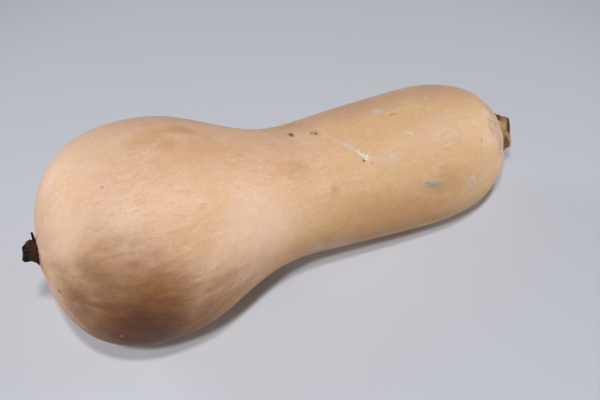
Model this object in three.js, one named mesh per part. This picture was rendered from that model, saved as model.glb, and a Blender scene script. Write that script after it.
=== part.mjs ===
// Butternut squash lying on its side, in millimetres with +Z up.
// It lies along +X from its blossom end to its stem end, and rests on z = 0 under the bulb and the neck.
// Three pieces: the fruit, the woody stub of its stem and the dried rest of its blossom.

import * as THREE from 'three';

// The fruit's outline, as distances along its own axis from the blossom end and radii from that axis.
const fruit = {
  length: 262,
  bulbAt: 52,
  bulbRadius: 55,
  waistAt: 134,
  waistRadius: 34.5,
  neckAt: 209,
  neckRadius: 38,
};

// How long the outline runs on in one direction before it turns, at each of its widest, narrowest and end points.
const run = {
  blossomEnd: 28,
  beforeBulb: 41,
  afterBulb: 34,
  beforeWaist: 36,
  afterWaist: 10,
  beforeNeck: 19,
  afterNeck: 38,
  stemEnd: 22,
};

// What keeps the fruit from being a perfectly turned shape.
const neckSway = 8; // how far the stem end has swung to +Y
const waistSway = 2; // how far the waist bows to +Y besides
const restDepth = 0.7; // how far the skin is pressed flat where it lies

// Broad lobes around the fruit: how many, their height as a share of the radius, and how far they are turned.
const lobes = [
  { count: 2, height: 0.01, turned: -1 },
  { count: 3, height: 0.006, turned: 1.1 },
  { count: 5, height: 0.005, turned: 2 },
];

// The flat seats on which the two end pieces stand, and the gap that keeps touching pieces apart.
const stemSeat = 260.8;
const blossomSeat = 0.6;
const gap = 0.3;

const stem = {
  length: 7,
  baseRadius: 11.6,
  waistRadius: 9.8,
  tipRadius: 8.9,
  ridges: 5,
  ridgeHeight: 0.8,
  hollow: 1, // how far the middle of the broken end lies below its rim
};
const blossom = {
  height: 7.5,
  aside: 4, // how far it stands to +Y of the fruit's axis
  above: 1.5,
  baseRadius: 6.6,
  waistRadius: 5.4,
  crownRadius: 3.6,
  folds: 7,
  foldDepth: 0.6,
  hollow: 2,
};

// How finely the pieces are divided.
const fruitRings = 60;
const fruitSides = 64;
const pieceRings = 6;
const pieceSides = 40;

function turn(index, sides) {
  return (2 * Math.PI * index) / sides;
}

// A closed solid through rings of points. Each end is closed by a fan around its centre.
// The rings follow one another along +X, and each runs from +Y towards +Z.
function loft(rings, startCentre, endCentre) {
  const sides = rings[0].length;
  const points = [...rings.flat(), startCentre, endCentre];
  const start = points.length - 2;
  const end = points.length - 1;
  const lastRing = (rings.length - 1) * sides;
  const faces = [];
  for (let side = 0; side < sides; side += 1) {
    const next = (side + 1) % sides;
    faces.push(start, next, side);
    faces.push(end, lastRing + side, lastRing + next);
    for (let base = 0; base < lastRing; base += sides) {
      const above = base + sides;
      faces.push(base + side, base + next, above + next);
      faces.push(base + side, above + next, above + side);
    }
  }
  const geometry = new THREE.BufferGeometry();
  geometry.setAttribute('position', new THREE.Float32BufferAttribute(points.flatMap((p) => p.toArray()), 3));
  geometry.setIndex(faces);
  geometry.computeVertexNormals();
  return geometry;
}

// Half of the fruit's outline: x runs along the axis and y is the radius.
function fruitOutline() {
  const { length, bulbAt, bulbRadius, waistAt, waistRadius, neckAt, neckRadius } = fruit;
  const outline = new THREE.Path();
  outline.moveTo(0, 0);
  outline.bezierCurveTo(0, run.blossomEnd, bulbAt - run.beforeBulb, bulbRadius, bulbAt, bulbRadius);
  outline.bezierCurveTo(
    bulbAt + run.afterBulb, bulbRadius, waistAt - run.beforeWaist, waistRadius, waistAt, waistRadius);
  outline.bezierCurveTo(
    waistAt + run.afterWaist, waistRadius, neckAt - run.beforeNeck, neckRadius, neckAt, neckRadius);
  outline.bezierCurveTo(neckAt + run.afterNeck, neckRadius, length, run.stemEnd, length, 0);
  return outline.getSpacedPoints(fruitRings);
}

// The angle at which the fruit lies: its axis slopes down from the fat bulb to the slimmer neck.
// It levels the line that touches both from below, so the two places that touch it are found first.
function restTilt(points) {
  const bulb = points.filter((point) => point.x < fruit.waistAt);
  const neck = points.filter((point) => point.x >= fruit.waistAt);
  const depth = (point, slope) => slope * point.x - point.z;
  const lowest = (part, slope) => part.reduce((a, b) => (depth(b, slope) > depth(a, slope) ? b : a));
  let slope = 0;
  for (let pass = 0; pass < 8; pass += 1) {
    const first = lowest(bulb, slope);
    const second = lowest(neck, slope);
    slope = (second.z - first.z) / (second.x - first.x);
  }
  return Math.atan(slope);
}

function sectionShape(angle) {
  return lobes.reduce((shape, lobe) => shape + lobe.height * Math.cos(lobe.count * angle + lobe.turned), 1);
}

function fruitCentre(x) {
  const share = x / fruit.length;
  return new THREE.Vector3(x, neckSway * share ** 2 + waistSway * Math.sin(Math.PI * share), 0);
}

function fruitRing(point) {
  const centre = fruitCentre(THREE.MathUtils.clamp(point.x, blossomSeat, stemSeat));
  return Array.from({ length: fruitSides }, (_, side) => {
    const angle = turn(side, fruitSides);
    const radius = point.y * sectionShape(angle);
    return centre.clone().add(new THREE.Vector3(0, radius * Math.cos(angle), radius * Math.sin(angle)));
  });
}

// Lays the fruit down: it is tilted until bulb and neck are level, and lowered until restDepth is under z = 0.
function layDown(points) {
  const lying = new THREE.Matrix4().makeRotationY(restTilt(points));
  const heights = points.map((point) => point.clone().applyMatrix4(lying).z);
  lying.setPosition(0, 0, -Math.min(...heights) - restDepth);
  return lying;
}

// The fruit itself, laid down, with the skin flattened where it is pressed onto z = 0.
function fruitBody(rings, lying) {
  const geometry = loft(rings, fruitCentre(blossomSeat), fruitCentre(stemSeat));
  geometry.applyMatrix4(lying);
  const position = geometry.getAttribute('position');
  for (let index = 0; index < position.count; index += 1) {
    position.setZ(index, Math.max(position.getZ(index), 0));
  }
  geometry.computeVertexNormals();
  return geometry;
}

// A round piece whose radius also waves around it. Its outline's x runs along the piece's own axis.
function wavyPiece(outline, waves, waveHeight, startCentre, endCentre) {
  const rings = new THREE.SplineCurve(outline).getPoints(pieceRings).map((point) =>
    Array.from({ length: pieceSides }, (_, side) => {
      const angle = turn(side, pieceSides);
      const radius = point.y + waveHeight * Math.cos(waves * angle);
      return new THREE.Vector3(point.x, radius * Math.cos(angle), radius * Math.sin(angle));
    }));
  return loft(rings, startCentre, endCentre);
}

// The stub flares where it grows out of the fruit, and its ridges run on to the broken end.
function stemStub() {
  const outline = [
    new THREE.Vector2(0, stem.baseRadius),
    new THREE.Vector2(stem.length * 0.4, stem.waistRadius),
    new THREE.Vector2(stem.length, stem.tipRadius),
  ];
  const base = new THREE.Vector3(0, 0, 0);
  const brokenEnd = new THREE.Vector3(stem.length - stem.hollow, 0, 0);
  return wavyPiece(outline, stem.ridges, stem.ridgeHeight, base, brokenEnd);
}

// The dried blossom is a shrunken, folded cup. It grows towards -X, so its outline starts at the crown.
function driedBlossom() {
  const outline = [
    new THREE.Vector2(-blossom.height, blossom.crownRadius),
    new THREE.Vector2(-blossom.height * 0.5, blossom.waistRadius),
    new THREE.Vector2(0, blossom.baseRadius),
  ];
  const crown = new THREE.Vector3(blossom.hollow - blossom.height, 0, 0);
  const base = new THREE.Vector3(0, 0, 0);
  return wavyPiece(outline, blossom.folds, blossom.foldDepth, crown, base);
}

function piece(name, geometry, color, roughness) {
  const mesh = new THREE.Mesh(geometry, new THREE.MeshStandardMaterial({ color, roughness, metalness: 0 }));
  mesh.name = name;
  return mesh;
}

const rings = fruitOutline().slice(1, -1).map(fruitRing);
const lying = layDown(rings.flat());
const body = piece('squash_body', fruitBody(rings, lying), 0xd9b28c, 0.5);

const stub = piece('stem_stub', stemStub(), 0x8f7a58, 0.85);
stub.position.copy(fruitCentre(stemSeat)).x += gap;
stub.updateMatrix();
stub.applyMatrix4(lying);

const dryCup = piece('dried_blossom', driedBlossom(), 0x2e2019, 0.8);
dryCup.position.copy(fruitCentre(blossomSeat)).add(new THREE.Vector3(-gap, blossom.aside, blossom.above));
dryCup.updateMatrix();
dryCup.applyMatrix4(lying);

// The origin is on the resting surface, under the middle of the whole squash.
const squash = new THREE.Group();
squash.add(body, stub, dryCup);
const middle = new THREE.Box3().setFromObject(squash).getCenter(new THREE.Vector3());
squash.position.set(-middle.x, -middle.y, 0);

export default squash;
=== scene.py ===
"""A whole butternut squash lying on its side, modelled and dressed for a render.

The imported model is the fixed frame: it gives the place and the size of the three pieces. Each of them is
replaced here by a finely modelled one: the fruit with its rind, the broken stub of its stem and the dried
rest of its blossom.
"""

from __future__ import annotations

import logging
import math
from dataclasses import dataclass, field
from enum import Enum

import bpy
import numpy as np
from mathutils import Matrix, Vector, noise

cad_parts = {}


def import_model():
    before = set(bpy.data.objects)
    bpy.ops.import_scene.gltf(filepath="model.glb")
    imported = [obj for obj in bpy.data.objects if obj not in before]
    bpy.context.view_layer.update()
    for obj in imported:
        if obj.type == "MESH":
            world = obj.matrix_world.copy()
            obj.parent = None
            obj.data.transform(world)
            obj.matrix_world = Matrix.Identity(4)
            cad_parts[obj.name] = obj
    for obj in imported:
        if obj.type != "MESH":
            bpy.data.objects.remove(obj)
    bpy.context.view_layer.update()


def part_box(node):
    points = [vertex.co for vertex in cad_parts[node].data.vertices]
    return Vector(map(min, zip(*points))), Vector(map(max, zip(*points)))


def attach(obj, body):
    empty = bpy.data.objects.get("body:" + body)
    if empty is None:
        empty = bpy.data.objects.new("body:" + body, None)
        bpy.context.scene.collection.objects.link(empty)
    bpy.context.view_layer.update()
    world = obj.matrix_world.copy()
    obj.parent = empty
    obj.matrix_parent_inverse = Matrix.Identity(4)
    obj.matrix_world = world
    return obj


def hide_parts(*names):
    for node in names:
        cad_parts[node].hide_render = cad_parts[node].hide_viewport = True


log = logging.getLogger("squash")

MM = 0.001
FULL_TURN = 2 * math.pi


# ---------------------------------------------------------------------------------------------------------
# Colours
# ---------------------------------------------------------------------------------------------------------


@dataclass(frozen=True)
class Colour:
    """A colour as it looks on a screen, each part from 0 to 255."""

    red: int
    green: int
    blue: int

    def linear(self) -> tuple[float, float, float, float]:
        """The colour as a shader takes it.

        Returns:
            Red, green, blue and an opaque alpha, each from 0 to 1.
        """
        parts = [part / 255 for part in (self.red, self.green, self.blue)]
        light = [part / 12.92 if part <= 0.04045 else ((part + 0.055) / 1.055) ** 2.4 for part in parts]
        return (light[0], light[1], light[2], 1.0)


# ---------------------------------------------------------------------------------------------------------
# Shader wiring
# ---------------------------------------------------------------------------------------------------------


Socket = bpy.types.NodeSocket
Number = Socket | float
Tint = Socket | Colour
Feed = Number | Colour | Vector | tuple

# The mix node's sockets share their names, so the ones for colours are taken by number.
MIX_FIRST = 6
MIX_SECOND = 7
MIX_RESULT = 2


class Wiring:
    """Adds the nodes of one material or one node group, and joins them."""

    def __init__(self, tree: bpy.types.NodeTree) -> None:
        """Starts on a node tree.

        Args:
            tree: The material's or the group's nodes.
        """
        self.tree = tree

    def node(
        self, kind: str, inputs: dict[str | int, Feed] | None = None, **settings: object
    ) -> bpy.types.Node:
        """Adds one node.

        Args:
            kind: The type of node.
            inputs: What goes into its sockets, by socket name or number: a plain value or another socket.
            **settings: The node's own settings.

        Returns:
            The new node.
        """
        made = self.tree.nodes.new(kind)
        for name, value in settings.items():
            setattr(made, name, value)
        for name, value in (inputs or {}).items():
            self.feed(made.inputs[name], value)
        return made

    def feed(self, socket: Socket, value: Feed) -> None:
        """Gives a socket its value.

        Args:
            socket: The input to fill.
            value: Another node's output, a Colour, a number or a tuple.
        """
        if isinstance(value, Socket):
            self.tree.links.new(value, socket)
        elif isinstance(value, Colour):
            socket.default_value = value.linear()
        else:
            socket.default_value = value

    def math(self, operation: str, first: Number, second: Number = 0.0, clamp: bool = False) -> Socket:
        """A sum of two values.

        Args:
            operation: Which sum it is, such as ADD.
            first: A number or a socket.
            second: A number or a socket.
            clamp: True keeps the result from 0 to 1.

        Returns:
            The result's socket.
        """
        made = self.node("ShaderNodeMath", {0: first, 1: second}, operation=operation, use_clamp=clamp)
        return made.outputs[0]

    def vectors(self, operation: str, first: Feed, second: Feed = (0.0, 0.0, 0.0)) -> Socket:
        """A sum of two vectors.

        Args:
            operation: Which sum it is, such as ADD.
            first: A vector or a socket.
            second: A vector or a socket.

        Returns:
            The resulting vector's socket.
        """
        return self.node("ShaderNodeVectorMath", {0: first, 1: second}, operation=operation).outputs[0]

    def spread(
        self, value: Number, low: Number, high: Number, to_low: float = 0.0, to_high: float = 1.0
    ) -> Socket:
        """Stretches a value smoothly from one range to another, and holds it there.

        Args:
            value: The value's socket.
            low: The value that gives to_low.
            high: The value that gives to_high.
            to_low: The result at and below low.
            to_high: The result at and above high.

        Returns:
            The result's socket.
        """
        made = self.node(
            "ShaderNodeMapRange",
            {"Value": value, "From Min": low, "From Max": high, "To Min": to_low, "To Max": to_high},
            interpolation_type="SMOOTHSTEP",
        )
        return made.outputs["Result"]

    def swing(self, value: Number, amount: Number) -> Socket:
        """How far a value is from 0.5, made larger or smaller by an amount."""
        return self.math("MULTIPLY", self.math("SUBTRACT", value, 0.5), amount)

    def blend(self, share: Number, first: Tint, second: Tint) -> Socket:
        """Mixes two colours.

        Args:
            share: How much of the second colour shows, from 0 to 1.
            first: A Colour or a socket.
            second: A Colour or a socket.

        Returns:
            The mixed colour's socket.
        """
        inputs = {"Factor": share, MIX_FIRST: first, MIX_SECOND: second}
        return self.node("ShaderNodeMix", inputs, data_type="RGBA").outputs[MIX_RESULT]

    def noise(
        self, vector: Socket, scale: Number, detail: Number = 2.0, roughness: Number = 0.5, warp: Number = 0.0
    ) -> Socket:
        """Cloudy noise around 0.5.

        Args:
            vector: The coordinates' socket.
            scale: Clouds per unit of the coordinates.
            detail: How many finer layers it has.
            roughness: How strong the finer layers are.
            warp: How far it is stirred.

        Returns:
            The noise's socket.
        """
        made = self.node(
            "ShaderNodeTexNoise",
            {"Vector": vector, "Scale": scale, "Detail": detail, "Roughness": roughness, "Distortion": warp},
        )
        return made.outputs[0]

    def place(self) -> Socket:
        """The point's place on the piece, in metres."""
        return self.node("ShaderNodeTexCoord").outputs["Object"]

    def course(self) -> Socket:
        """The coordinates that run lengthwise along the skin and round it, as the mesh holds them."""
        return self.node("ShaderNodeAttribute", attribute_name="course").outputs["Vector"]

    def mark(self, name: str) -> Socket:
        """A value that the mesh holds at each of its points.

        Args:
            name: The name that the value has on the mesh.

        Returns:
            The value's socket.
        """
        return self.node("ShaderNodeAttribute", attribute_name=name).outputs["Fac"]

    def group(self, tree: bpy.types.NodeTree, inputs: dict[str, Feed]) -> Socket:
        """Places a node group.

        Args:
            tree: The group.
            inputs: What goes into its sockets, by name.

        Returns:
            The socket of what the group puts out.
        """
        return self.node("ShaderNodeGroup", inputs, node_tree=tree).outputs[0]


class Effect:
    """A node group that several materials share. It puts out one mask or value."""

    def __init__(self, name: str, inputs: dict[str, float | None], output: str) -> None:
        """Makes the empty group with its sockets.

        Args:
            name: The group's name.
            inputs: Each input's name, with its usual number, or None for coordinates.
            output: The name of what it puts out.
        """
        self.tree = bpy.data.node_groups.new(name, "ShaderNodeTree")
        for socket_name, usual in inputs.items():
            kind = "NodeSocketVector" if usual is None else "NodeSocketFloat"
            made = self.tree.interface.new_socket(name=socket_name, in_out="INPUT", socket_type=kind)
            if usual is not None:
                made.default_value = usual
        self.tree.interface.new_socket(name=output, in_out="OUTPUT", socket_type="NodeSocketFloat")
        self.wiring = Wiring(self.tree)
        self.start = self.tree.nodes.new("NodeGroupInput").outputs
        self.end = self.tree.nodes.new("NodeGroupOutput").inputs

    def finish(self, value: Socket) -> bpy.types.NodeTree:
        """Ends the group with the value that it puts out, and hands it over."""
        self.wiring.feed(self.end[0], value)
        return self.tree


# ---------------------------------------------------------------------------------------------------------
# The fruit's form, which the pieces are fitted to
# ---------------------------------------------------------------------------------------------------------

CURVE_STEPS = 200
FIT_RINGS = 240
FIT_SIDES = 256
WALK_STEPS = 1200
END_STEPS = 600
TILT_ROUNDS = 8


def round_angles(count: int) -> np.ndarray:
    """Evenly spaced angles for a full turn, in radians."""
    return np.arange(count) * FULL_TURN / count


def tube(
    along: np.ndarray | float, angles: np.ndarray, radius: np.ndarray | float = 1.0
) -> np.ndarray:
    """Rings of points around the X axis.

    Args:
        along: Where each ring or point is on the axis.
        angles: The angles of the points on each ring.
        radius: How far from the axis each ring or point is.

    Returns:
        The points, by ring and by angle.
    """
    parts = np.broadcast_arrays(along, radius * np.cos(angles), radius * np.sin(angles))
    return np.stack(parts, axis=-1)


def moved(points: np.ndarray, matrix: Matrix) -> np.ndarray:
    """Points after a transform."""
    return points @ np.array(matrix.to_3x3()).T + np.array(matrix.translation)


def walk(path: np.ndarray) -> np.ndarray:
    """How far it is from a path's first point to each of its points."""
    return np.concatenate([[0.0], np.cumsum(np.linalg.norm(np.diff(path, axis=0), axis=1))])


@dataclass(frozen=True)
class Lobe:
    """A swelling that repeats around a piece: how often, how high, and its turn in radians."""

    count: int
    height: float
    turned: float


def lobed(angles: np.ndarray, lobes: tuple[Lobe, ...]) -> np.ndarray:
    """The height of several lobes together, at each angle."""
    return sum(lobe.height * np.cos(lobe.count * angles + lobe.turned) for lobe in lobes)


@dataclass
class FruitForm:
    """The smooth form of the fruit in millimetres, and where it lies in the frame.

    Distances along it start at the blossom end. Angles around it start at its +Y side and pass over its top.
    """

    length: float = 262.0
    bulb_at: float = 52.0
    bulb_radius: float = 55.0
    waist_at: float = 134.0
    waist_radius: float = 34.5
    neck_at: float = 209.0
    neck_radius: float = 38.0
    blossom_run: float = 28.0
    before_bulb_run: float = 41.0
    after_bulb_run: float = 34.0
    before_waist_run: float = 36.0
    after_waist_run: float = 10.0
    before_neck_run: float = 19.0
    after_neck_run: float = 38.0
    stem_run: float = 22.0
    neck_sway: float = 8.0
    waist_sway: float = 2.0
    rest_depth: float = 0.7
    stem_seat: float = 260.8
    blossom_seat: float = 0.6
    seat_gap: float = 0.3
    lobes: tuple[Lobe, ...] = (Lobe(2, 0.01, -1.0), Lobe(3, 0.006, 1.1), Lobe(5, 0.005, 2.0))
    lying: Matrix = field(default_factory=Matrix)

    def outline(self, count: int) -> np.ndarray:
        """Points on half of the outline, evenly spaced along it, without the two poles.

        Args:
            count: How many points.

        Returns:
            Rows of a distance along the fruit and a radius.
        """
        curves = (
            # Each smooth curve runs from one knot to the third after it, and the two between pull it.
            ((0, 0), (0, self.blossom_run)),
            ((self.bulb_at - self.before_bulb_run, self.bulb_radius), (self.bulb_at, self.bulb_radius)),
            ((self.bulb_at + self.after_bulb_run, self.bulb_radius),),
            ((self.waist_at - self.before_waist_run, self.waist_radius), (self.waist_at, self.waist_radius)),
            ((self.waist_at + self.after_waist_run, self.waist_radius),),
            ((self.neck_at - self.before_neck_run, self.neck_radius), (self.neck_at, self.neck_radius)),
            ((self.neck_at + self.after_neck_run, self.neck_radius),),
            ((self.length, self.stem_run), (self.length, 0)),
        )
        knots = np.array([point for part in curves for point in part], float)
        share = np.linspace(0, 1, CURVE_STEPS)[:, None]
        weights = ((1 - share) ** 3, 3 * share * (1 - share) ** 2, 3 * share**2 * (1 - share), share**3)
        firsts = range(0, len(knots) - 1, 3)
        path = np.concatenate([sum(w * knots[first + k] for k, w in enumerate(weights)) for first in firsts])
        walked = walk(path)
        stops = np.linspace(0, walked[-1], count + 2)[1:-1]
        return np.stack([np.interp(stops, walked, path[:, 0]), np.interp(stops, walked, path[:, 1])], axis=1)

    def shape(self, angles: np.ndarray) -> np.ndarray:
        """How far from round the fruit is, as a share of its radius at each angle."""
        return 1 + lobed(angles, self.lobes)

    def centre(self, along: np.ndarray) -> np.ndarray:
        """The fruit's middle line, which bows a little to one side.

        Args:
            along: Distances along the fruit.

        Returns:
            Rows of x, y and z, before the fruit is laid down.
        """
        share = along / self.length
        aside = self.neck_sway * share**2 + self.waist_sway * np.sin(math.pi * share)
        return np.stack([along, aside, np.zeros_like(along)], axis=-1)

    def skin(self, along: np.ndarray, radius: np.ndarray, angles: np.ndarray) -> np.ndarray:
        """The smooth skin, laid down in the frame.

        Args:
            along: A distance along the fruit for each ring.
            radius: The radius of each ring.
            angles: The angles of the points on each ring.

        Returns:
            The points in metres, by ring and by angle.
        """
        seated = np.clip(along, self.blossom_seat, self.stem_seat)
        around = tube(0.0, angles, radius[:, None] * self.shape(angles))
        return moved((self.centre(seated)[:, None, :] + around) * MM, self.lying)

    def tilt(self, points: np.ndarray) -> float:
        """The slope of the line that touches the bulb and the neck from below.

        Args:
            points: The skin before it is laid down.

        Returns:
            The angle by which the fruit has to be turned about +Y to lie level.
        """
        flat = points.reshape(-1, 3)
        bulb = flat[flat[:, 0] < self.waist_at * MM]
        neck = flat[flat[:, 0] >= self.waist_at * MM]
        slope = 0.0
        for _ in range(TILT_ROUNDS):
            first = bulb[np.argmax(slope * bulb[:, 0] - bulb[:, 2])]
            second = neck[np.argmax(slope * neck[:, 0] - neck[:, 2])]
            slope = (second[2] - first[2]) / (second[0] - first[0])
        return math.atan(slope)

    def lay_down(self, box: tuple[Vector, Vector]) -> None:
        """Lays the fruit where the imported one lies.

        Args:
            box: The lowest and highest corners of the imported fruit.
        """
        rings = self.outline(FIT_RINGS)
        angles = round_angles(FIT_SIDES)
        standing = self.skin(rings[:, 0], rings[:, 1], angles)
        self.lying = Matrix.Rotation(self.tilt(standing), 4, "Y")
        turned = self.skin(rings[:, 0], rings[:, 1], angles).reshape(-1, 3)
        low = Vector(turned.min(axis=0).tolist())
        high = Vector(turned.max(axis=0).tolist())
        move = (box[0] + box[1]) / 2 - (low + high) / 2
        move.z = -low.z - self.rest_depth * MM
        self.lying.translation = move

    def walked(self, along: np.ndarray | float) -> np.ndarray | float:
        """How far a walk on the skin is, from the blossom end to a distance along the fruit."""
        path = self.outline(WALK_STEPS)
        return np.interp(along, path[:, 0], walk(path))

    def end_drop(self, radius: np.ndarray) -> np.ndarray:
        """How far the stem's end of the skin falls back, at distances from its middle.

        Args:
            radius: The distances from the middle of the end.

        Returns:
            How far the skin lies behind the end's highest point, in millimetres.
        """
        path = self.outline(END_STEPS)
        end = path[path[:, 0] > self.neck_at][::-1]
        return self.stem_seat - np.interp(radius, end[:, 1], end[:, 0])

    def seat(self, along: float, aside: float = 0.0, above: float = 0.0) -> Matrix:
        """The place on the fruit's middle line where an end piece stands.

        Args:
            along: The distance along the fruit.
            aside: How far it stands to +Y of the middle line.
            above: How far it stands above the middle line.

        Returns:
            The transform from the piece's own millimetres, with X along the fruit, to the frame.
        """
        middle = self.centre(np.array(along)) + np.array([0.0, aside, above])
        return self.lying @ Matrix.Translation(Vector(middle.tolist()) * MM) @ Matrix.Scale(MM, 4)


def noise_at(points: np.ndarray, size: float, layers: int = 1, seed: float = 0.0) -> np.ndarray:
    """Smooth noise from about -1 to 1 at many points.

    Args:
        points: Points in any shape, with three numbers each.
        size: The width of one swelling, in the points' unit.
        layers: How many finer layers it has.
        seed: Another number gives other noise.

    Returns:
        One value for each point.
    """
    flat = points.reshape(-1, 3) / size + seed
    if layers == 1:
        values = [noise.noise(Vector(point)) for point in flat.tolist()]
    else:
        values = [noise.fractal(Vector(point), 1.0, 2.0, layers) for point in flat.tolist()]
    return np.array(values).reshape(points.shape[:-1])


def smooth_step(value: np.ndarray, low: float, high: float) -> np.ndarray:
    """A soft step from 0 at low to 1 at high."""
    share = np.clip((value - low) / (high - low), 0, 1)
    return share * share * (3 - 2 * share)


@dataclass(frozen=True)
class Bump:
    """A smooth bump round one direction: its middle and half width in degrees, and its height."""

    middle: float
    width: float
    height: float = 1.0


def bumps(angles: np.ndarray, parts: tuple[Bump, ...]) -> np.ndarray:
    """The height of several bumps together.

    Args:
        angles: Angles in radians.
        parts: The bumps.

    Returns:
        The height at each angle.
    """
    total = np.zeros_like(angles)
    for part in parts:
        away = (np.degrees(angles) - part.middle + 180) % 360 - 180
        total += part.height * np.exp(-((away / part.width) ** 2))
    return total


@dataclass
class Skin:
    """A closed surface made of rings of points, with values at its points for its material."""

    rings: np.ndarray
    values: dict[str, np.ndarray] = field(default_factory=dict)

    def normals(self) -> np.ndarray:
        """The outward direction at each point.

        Returns:
            Unit vectors, by ring and by place on the ring.
        """
        along = np.gradient(self.rings, axis=0)
        around = np.roll(self.rings, -1, axis=1) - np.roll(self.rings, 1, axis=1)
        across = np.cross(around, along)
        return across / np.maximum(np.linalg.norm(across, axis=-1, keepdims=True), 1e-12)

    def swell(self, height: np.ndarray) -> None:
        """Moves each point outwards by its own height, in the rings' unit."""
        self.rings = self.rings + self.normals() * height[..., None]

    def faces(self) -> list[list[int]]:
        """The faces between the rings, and a fan at each end around the point in the end's middle.

        Returns:
            The numbers of each face's points. The two middle points come after all the rings' points.
        """
        count, sides = self.rings.shape[:2]
        here = np.arange(sides)
        after = (here + 1) % sides
        base = np.arange(count - 1)[:, None] * sides
        quads = np.stack([base + here, base + after, base + sides + after, base + sides + here], axis=-1)
        last = (count - 1) * sides
        start = np.stack([np.full(sides, count * sides), after, here], axis=-1)
        finish = np.stack([np.full(sides, count * sides + 1), last + here, last + after], axis=-1)
        return quads.reshape(-1, 4).tolist() + start.tolist() + finish.tolist()

    def with_ends(self, value: np.ndarray) -> np.ndarray:
        """Adds the values for the two middle points, each of which is the mean of its end ring.

        Args:
            value: A number or three at each point of the rings.

        Returns:
            One row for each point of the mesh.
        """
        ends = np.stack([value[0].mean(axis=0), value[-1].mean(axis=0)])
        width = 1 if value.ndim == 2 else value.shape[-1]
        return np.concatenate([value.reshape(-1, width), ends.reshape(2, width)])

    def build(self, name: str) -> bpy.types.Object:
        """Makes the mesh object. Each end is closed by a fan around the middle of its ring.

        Args:
            name: The piece's name.

        Returns:
            The new object, linked to the scene.
        """
        mesh = bpy.data.meshes.new(name)
        mesh.from_pydata(self.with_ends(self.rings).tolist(), [], self.faces())
        mesh.validate()
        mesh.polygons.foreach_set("use_smooth", np.ones(len(mesh.polygons), bool))
        for value_name, value in self.values.items():
            rows = self.with_ends(np.broadcast_to(value, self.rings.shape[:2] + value.shape[2:]))
            kind, field_name = ("FLOAT_VECTOR", "vector") if rows.shape[1] == 3 else ("FLOAT", "value")
            attribute = mesh.attributes.new(value_name, kind, "POINT")
            attribute.data.foreach_set(field_name, rows.astype(np.float32).ravel())
        made = bpy.data.objects.new(name, mesh)
        bpy.context.scene.collection.objects.link(made)
        return made


# ---------------------------------------------------------------------------------------------------------
# Effects that several materials share
# ---------------------------------------------------------------------------------------------------------

RAGGED_FROM = 0.25


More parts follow.
